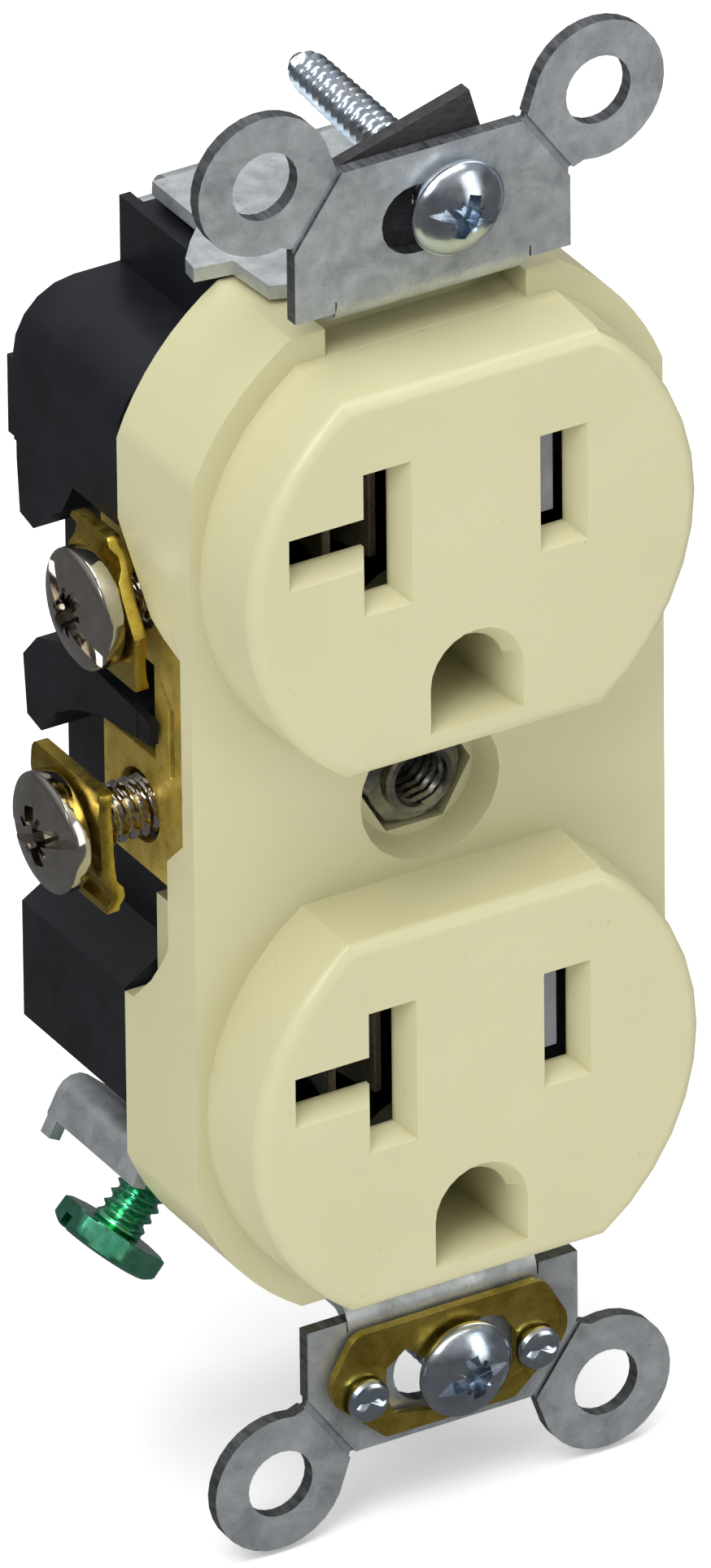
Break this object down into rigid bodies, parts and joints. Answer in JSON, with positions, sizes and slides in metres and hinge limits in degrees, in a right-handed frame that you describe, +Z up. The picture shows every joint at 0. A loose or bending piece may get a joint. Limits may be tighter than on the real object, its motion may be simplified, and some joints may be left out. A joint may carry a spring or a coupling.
{
  "type": "duplex wall outlet",
  "caption": "Duplex wall outlet with T-slot neutral, tamper-resistant shutters, wrap-around steel strap with ears, side terminal screws and a green ground screw.",
  "frame": {"origin": "on the wall plane, the back of the strap's ears, at the middle of the cover-plate screw", "axes": "+Z up along the strap, +Y into the wall, +X to the right as seen from the front"},
  "size_m": [0.0446, 0.0292, 0.1036],
  "materials": {
    "ivory_plastic": "satin moulded, fine grain",
    "black_plastic": "satin moulded",
    "galvanized_steel": "dull zinc coat",
    "brass": "stamped, slightly tarnished",
    "nickel_plate": "bright nickel",
    "zinc_plate": "bright zinc, bluish",
    "green_plate": "translucent green over zinc",
    "shutter_plastic": "moulded",
    "black_fibre": "matte",
    "spring_steel": "drawn wire"
  },
  "bodies": {
    "housing": {"face_cover": "ivory_plastic", "back_body": "black_plastic", "mounting_strap": "galvanized_steel", "grounding_clip": "brass", "clip_rivet_left": "zinc_plate", "clip_rivet_right": "zinc_plate", "cover_screw_bushing": "galvanized_steel", "neutral_contact_strip": "brass", "hot_contact_strip": "brass", "ground_contact_upper": "brass", "ground_contact_lower": "brass", "ground_rivet_upper": "galvanized_steel", "ground_rivet_lower": "galvanized_steel", "shutter_spring_upper": "spring_steel", "shutter_spring_lower": "spring_steel"},
    "ground_screw": {"ground_screw": "green_plate"},
    "top_retainer": {"screw_retainer_top": "black_fibre"},
    "top_screw": {"mounting_screw_top": "zinc_plate"},
    "bottom_screw": {"mounting_screw_bottom": "zinc_plate"},
    "shutter_upper": {"shutter_upper": "shutter_plastic"},
    "shutter_lower": {"shutter_lower": "shutter_plastic"},
    "clamp_neutral_upper": {"terminal_clamp_neutral_upper": "brass"},
    "screw_neutral_upper": {"terminal_screw_neutral_upper": "nickel_plate"},
    "clamp_neutral_lower": {"terminal_clamp_neutral_lower": "brass"},
    "screw_neutral_lower": {"terminal_screw_neutral_lower": "nickel_plate"},
    "clamp_hot_upper": {"terminal_clamp_hot_upper": "brass"},
    "screw_hot_upper": {"terminal_screw_hot_upper": "brass"},
    "clamp_hot_lower": {"terminal_clamp_hot_lower": "brass"},
    "screw_hot_lower": {"terminal_screw_hot_lower": "brass"}
  },
  "joints": [
    {"name": "clamp_neutral_upper_travel", "type": "slide", "parent": "housing", "child": "clamp_neutral_upper", "axis": [-1, 0, 0], "range_m": [-0.0007, 0.00265]},
    {"name": "screw_neutral_upper_turn", "type": "hinge", "parent": "clamp_neutral_upper", "child": "screw_neutral_upper", "pos_m": [-0.01905, 0.009, 0.0145], "axis": [-1, 0, 0], "range_deg": [-317.48, 1201.89]},
    {"name": "clamp_neutral_lower_travel", "type": "slide", "parent": "housing", "child": "clamp_neutral_lower", "axis": [-1, 0, 0], "range_m": [-0.00335, 0]},
    {"name": "screw_neutral_lower_turn", "type": "hinge", "parent": "clamp_neutral_lower", "child": "screw_neutral_lower", "pos_m": [-0.0217, 0.009, -0.0009], "axis": [-1, 0, 0], "range_deg": [-1519.37, 0]},
    {"name": "clamp_hot_upper_travel", "type": "slide", "parent": "housing", "child": "clamp_hot_upper", "axis": [1, 0, 0], "range_m": [-0.0002, 0.00315]},
    {"name": "screw_hot_upper_turn", "type": "hinge", "parent": "clamp_hot_upper", "child": "screw_hot_upper", "pos_m": [0.01855, 0.009, 0.0145], "axis": [1, 0, 0], "range_deg": [-90.71, 1428.66]},
    {"name": "clamp_hot_lower_travel", "type": "slide", "parent": "housing", "child": "clamp_hot_lower", "axis": [1, 0, 0], "range_m": [-0.0002, 0.00315]},
    {"name": "screw_hot_lower_turn", "type": "hinge", "parent": "clamp_hot_lower", "child": "screw_hot_lower", "pos_m": [0.01855, 0.009, -0.0009], "axis": [1, 0, 0], "range_deg": [-90.71, 1428.66]},
    {"name": "ground_screw_turn", "type": "hinge", "parent": "housing", "child": "ground_screw", "pos_m": [-0.01552, 0.0136, -0.03439], "axis": [-0.669, 0, -0.7433], "range_deg": [-1800, 360]},
    {"name": "top_retainer_slide", "type": "slide", "parent": "housing", "child": "top_retainer", "axis": [1, 0, 0], "range_m": [-0.0021, 0]},
    {"name": "top_screw_turn", "type": "hinge", "parent": "top_retainer", "child": "top_screw", "pos_m": [0.0014, -0.0013, 0.04205], "axis": [0, -0.9978, -0.0663], "continuous": true},
    {"name": "bottom_screw_turn", "type": "hinge", "parent": "housing", "child": "bottom_screw", "pos_m": [0.0007, -0.0023, -0.04167], "axis": [0, -1, 0], "continuous": true},
    {"name": "shutter_upper_slide", "type": "slide", "parent": "housing", "child": "shutter_upper", "axis": [1, 0, 0], "range_m": [-0.0017, 0], "stiffness_N_per_m": 200, "springref_m": 0.001, "deforming": ["shutter_spring_upper"]},
    {"name": "shutter_lower_slide", "type": "slide", "parent": "housing", "child": "shutter_lower", "axis": [1, 0, 0], "range_m": [-0.0017, 0], "stiffness_N_per_m": 200, "springref_m": 0.001, "deforming": ["shutter_spring_lower"]}
  ],
  "couplings": [
    {"joint": "screw_neutral_upper_turn", "follows": "clamp_neutral_upper_travel", "rad_per_m": 7915.8},
    {"joint": "screw_neutral_lower_turn", "follows": "clamp_neutral_lower_travel", "rad_per_m": 7915.8},
    {"joint": "screw_hot_upper_turn", "follows": "clamp_hot_upper_travel", "rad_per_m": 7915.8},
    {"joint": "screw_hot_lower_turn", "follows": "clamp_hot_lower_travel", "rad_per_m": 7915.8}
  ]
}
